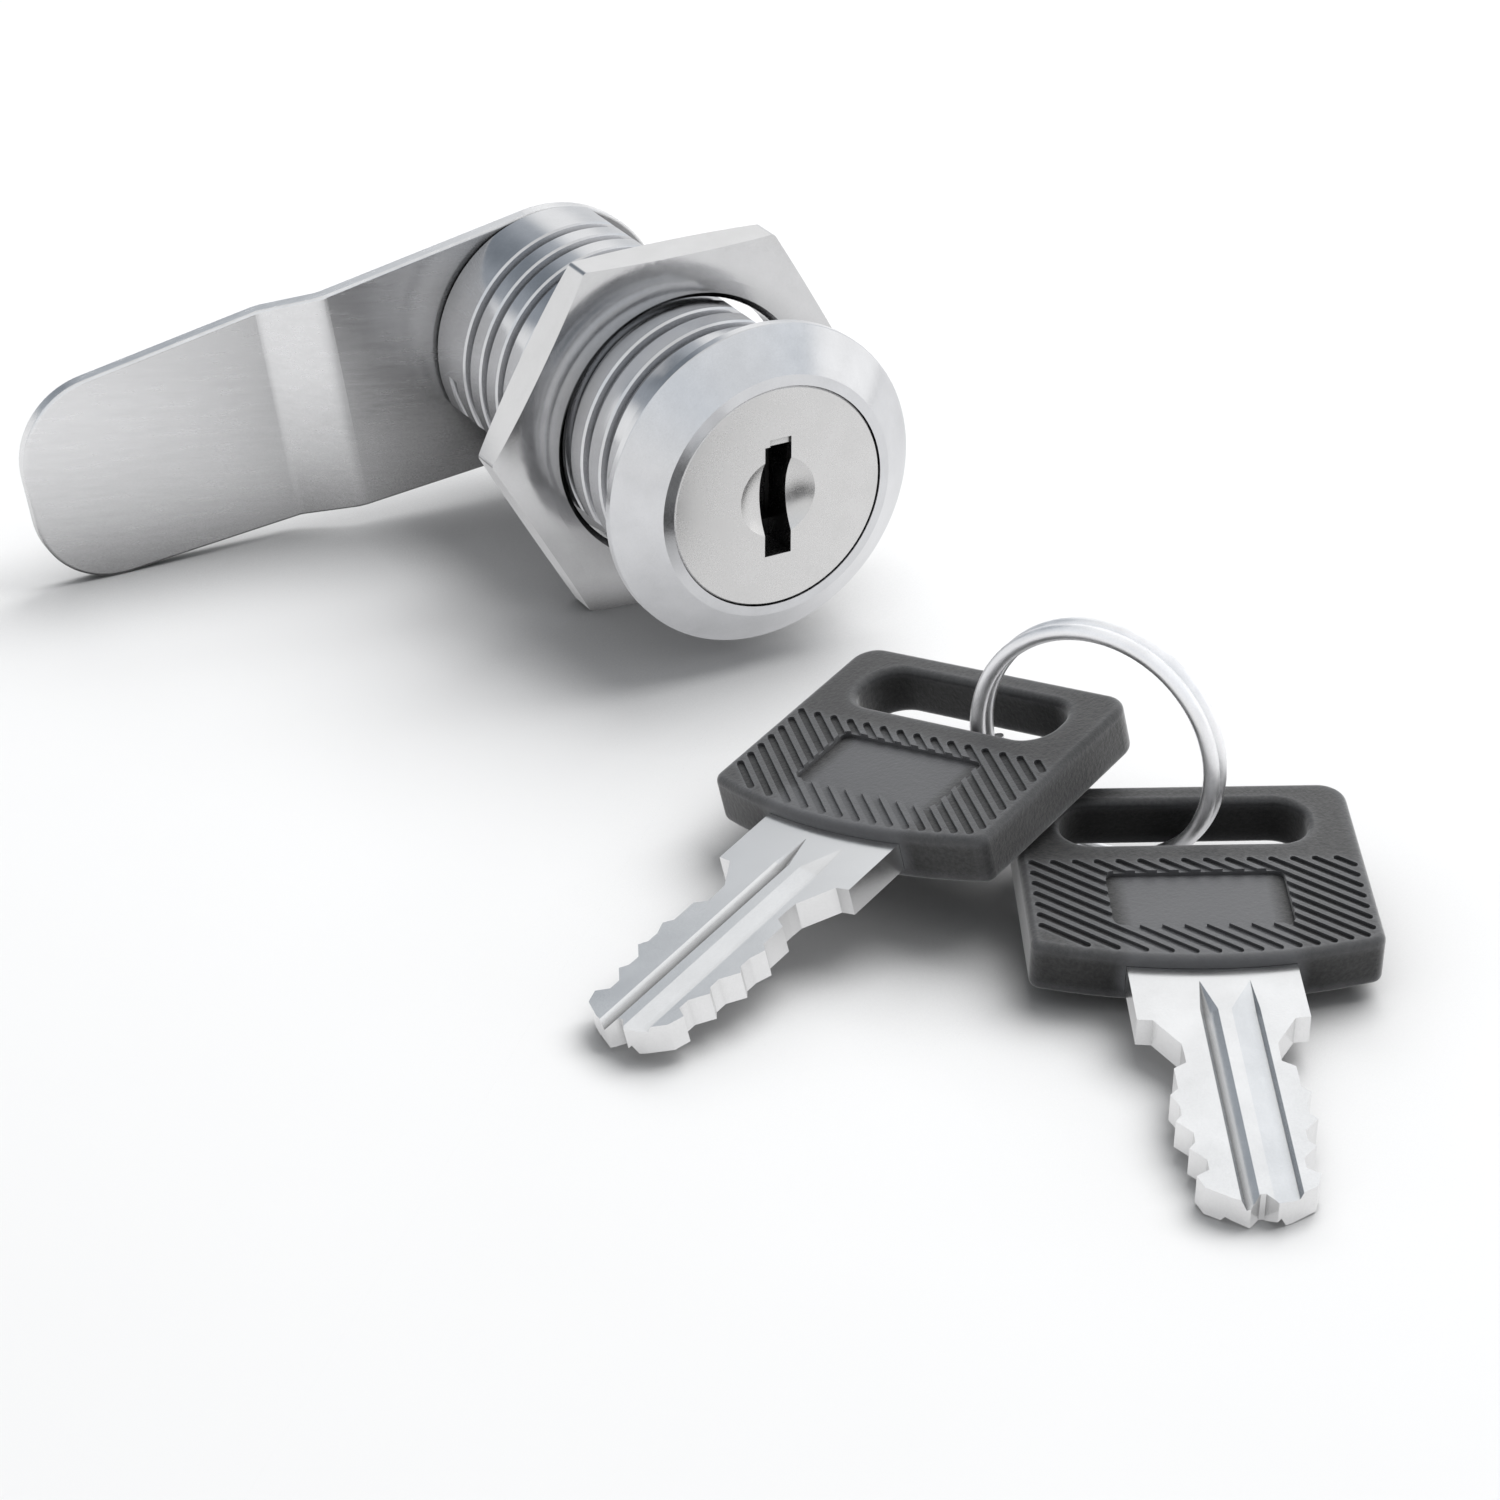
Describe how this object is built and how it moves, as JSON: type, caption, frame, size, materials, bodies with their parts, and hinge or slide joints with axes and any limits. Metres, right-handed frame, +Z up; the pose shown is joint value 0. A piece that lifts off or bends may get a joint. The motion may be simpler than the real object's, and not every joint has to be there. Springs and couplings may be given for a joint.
{
  "type": "cam lock with keys",
  "caption": "Threaded-barrel cam lock with a hexagon nut and a cranked cam, and flat keys with plastic heads on a split ring.",
  "frame": {"origin": "on the lock axis, in the rear face of the head, which seats on the panel", "axes": "+Y along the lock axis from the key face to the cam, +Z up, -X the way the cam points at rest"},
  "size_m": [0.0575, 0.108, 0.0254],
  "materials": {
    "lock_body": "bright plated, slightly satin",
    "lock_plug": "satin plated face",
    "nut": "bright plated, turned faces",
    "cam": "brushed along its length",
    "steel_pieces": "zinc plated",
    "wafers": "stamped, dull",
    "springs": "drawn wire",
    "key_blade": "bright nickel plate",
    "key_head": "fine matte grain",
    "ring_wire": "polished wire"
  },
  "bodies": {
    "lock_body": {"housing": "lock_body"},
    "plug": {"plug_core": "lock_plug", "stop_washer": "steel_pieces", "cam": "cam", "cam_washer": "steel_pieces", "cam_screw": "steel_pieces", "wafer_spring_1": "springs", "wafer_spring_2": "springs", "wafer_spring_3": "springs", "wafer_spring_4": "springs", "wafer_spring_5": "springs"},
    "nut": {"hex_nut": "nut"},
    "wafer_1": {"wafer_1": "wafers"},
    "wafer_2": {"wafer_2": "wafers"},
    "wafer_3": {"wafer_3": "wafers"},
    "wafer_4": {"wafer_4": "wafers"},
    "wafer_5": {"wafer_5": "wafers"},
    "key_2": {"key_2_blade": "key_blade", "key_2_head": "key_head"},
    "ring": {"key_ring": "ring_wire"},
    "key_1": {"key_1_blade": "key_blade", "key_1_head": "key_head"}
  },
  "joints": [
    {"name": "plug_turn", "type": "hinge", "parent": "lock_body", "child": "plug", "pos_m": [0, 0, 0], "axis": [0, 1, 0], "range_deg": [0, 90]},
    {"name": "nut_travel", "type": "slide", "parent": "lock_body", "child": "nut", "axis": [0, 1, 0], "range_m": [-0.0099, 0.0145]},
    {"name": "wafer_1_slide", "type": "slide", "parent": "plug", "child": "wafer_1", "axis": [0, 0, 1], "range_m": [0, 0.00065]},
    {"name": "wafer_2_slide", "type": "slide", "parent": "plug", "child": "wafer_2", "axis": [0, 0, -1], "range_m": [0, 0.00065]},
    {"name": "wafer_3_slide", "type": "slide", "parent": "plug", "child": "wafer_3", "axis": [0, 0, 1], "range_m": [0, 0.00065]},
    {"name": "wafer_4_slide", "type": "slide", "parent": "plug", "child": "wafer_4", "axis": [0, 0, -1], "range_m": [0, 0.00065]},
    {"name": "wafer_5_slide", "type": "slide", "parent": "plug", "child": "wafer_5", "axis": [0, 0, 1], "range_m": [0, 0.00065]},
    {"name": "keys_lift", "type": "slide", "parent": "lock_body", "child": "key_2", "axis": [0, 0, 1], "range_m": [0, 0.02]},
    {"name": "ring_turn", "type": "hinge", "parent": "key_2", "child": "ring", "pos_m": [0.00393, -0.03573, -0.00432], "axis": [-0.8755, -0.4833, 0], "range_deg": [-15, 15]},
    {"name": "key_1_swing", "type": "hinge", "parent": "key_2", "child": "key_1", "pos_m": [0.00393, -0.03573, -0.00432], "axis": [0.8755, 0.4833, 0], "range_deg": [0, 20]}
  ]
}
